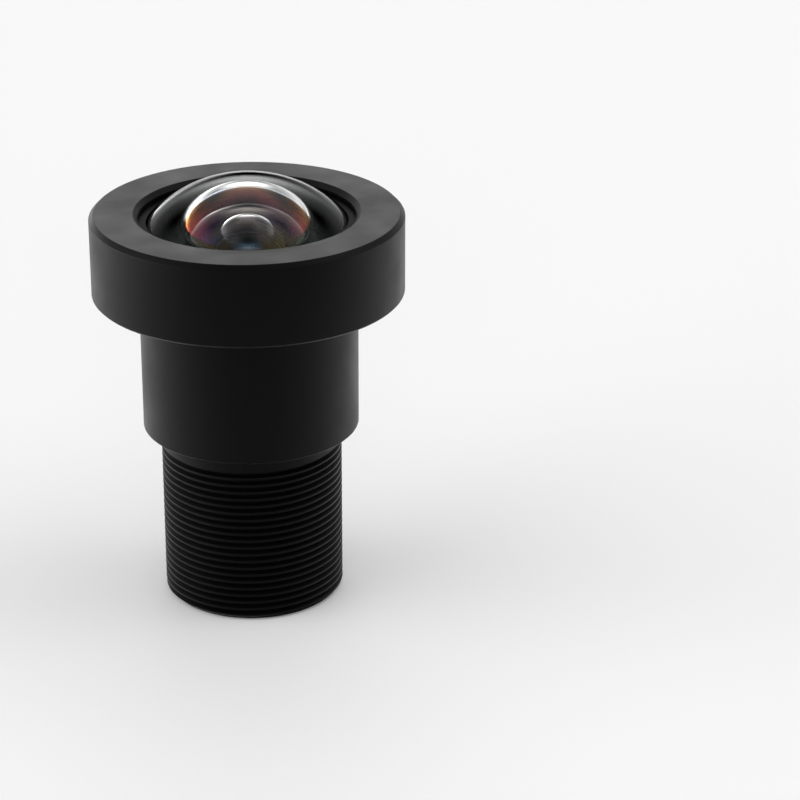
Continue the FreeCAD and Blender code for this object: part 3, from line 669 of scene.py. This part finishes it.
def makeWorld():
    world = bpy.data.worlds.new("studio")
    bpy.context.scene.world = world
    world.use_nodes = True
    tree = world.node_tree
    tree.nodes.clear()
    direction = addNode(tree, "ShaderNodeTexCoord").outputs["Generated"]
    axes = addNode(tree, "ShaderNodeSeparateXYZ", {0: direction}).outputs
    level = addNode(tree, "ShaderNodeMath", {0: axes[2]}, operation="ARCSINE").outputs[0]
    compass = addNode(tree, "ShaderNodeMath", {0: axes[0], 1: axes[1]}, operation="ARCTAN2").outputs[0]
    glow = 0.0

    def fade(value, start, end, top):
        limits = {"Value": value, 1: math.radians(start), 2: math.radians(end), 3: 0.0, 4: top}
        return addNode(tree, "ShaderNodeMapRange", limits, interpolation_type="SMOOTHSTEP").outputs[0]

    for bearing, reach, low, full, high, strength in studioPanels:
        turned = addNode(tree, "ShaderNodeMath", {0: compass, 1: math.radians(bearing)}, operation="SUBTRACT")
        wrapped = addNode(tree, "ShaderNodeMath", {0: turned.outputs[0], 1: math.pi, 2: -math.pi},
                          operation="WRAP")
        away = addNode(tree, "ShaderNodeMath", {0: wrapped.outputs[0]}, operation="ABSOLUTE").outputs[0]
        above, below = fade(level, low, full, 1.0), fade(level, high, full, 1.0)
        panel = addNode(tree, "ShaderNodeMath", {0: above, 1: below}, operation="MULTIPLY").outputs[0]
        glow = addNode(tree, "ShaderNodeMath", {0: panel, 1: fade(away, reach, 0, strength), 2: glow},
                       operation="MULTIPLY_ADD").outputs[0]
    rays = addNode(tree, "ShaderNodeLightPath").outputs
    strength = addNode(tree, "ShaderNodeMix", {"Factor": rays["Is Camera Ray"], "A": glow, "B": 1.0})
    light = addNode(tree, "ShaderNodeBackground", {"Color": (1, 1, 1, 1), "Strength": strength.outputs[0]})
    addNode(tree, "ShaderNodeOutputWorld", {"Surface": light.outputs[0]})


# The camera was fitted to the outlines of the head, barrel and nose in the photograph, in an 800 x 800 frame,
# with the thread's pitch held near 0.5 mm on an assumed major diameter of 12 mm.
cameraSizes = {"back": 162.43, "height": 84.16, "yaw": 0.06092, "pitch": 0.41166, "roll": 0.00319,
               "focalPixels": 2663.6, "frame": 800, "sensor": 36.0, "nearMetres": 0.01, "farMetres": 10}


def makeCamera():
    c = cameraSizes
    forward = Vector((math.sin(c["yaw"]) * math.cos(c["pitch"]), math.cos(c["yaw"]) * math.cos(c["pitch"]),
                      -math.sin(c["pitch"])))
    level = Vector((math.cos(c["yaw"]), -math.sin(c["yaw"]), 0))
    above = level.cross(forward)
    right = level * math.cos(c["roll"]) + above * math.sin(c["roll"])
    up = above * math.cos(c["roll"]) - level * math.sin(c["roll"])
    lens = bpy.data.cameras.new("camera")
    lens.sensor_width = c["sensor"]
    lens.lens = c["focalPixels"] * c["sensor"] / c["frame"]
    lens.clip_start = c["nearMetres"]
    lens.clip_end = c["farMetres"]
    camera = bpy.data.objects.new("camera", lens)
    bpy.context.scene.collection.objects.link(camera)
    turned = Matrix((right, up, -forward)).transposed().to_4x4()
    camera.matrix_world = Matrix.Translation(Vector((0, -c["back"], c["height"])) * mm) @ turned
    bpy.context.scene.camera = camera


makeFloor()
makeWorld()
makeCamera()
bpy.context.scene.view_settings.view_transform = "Standard"
print("stage made")
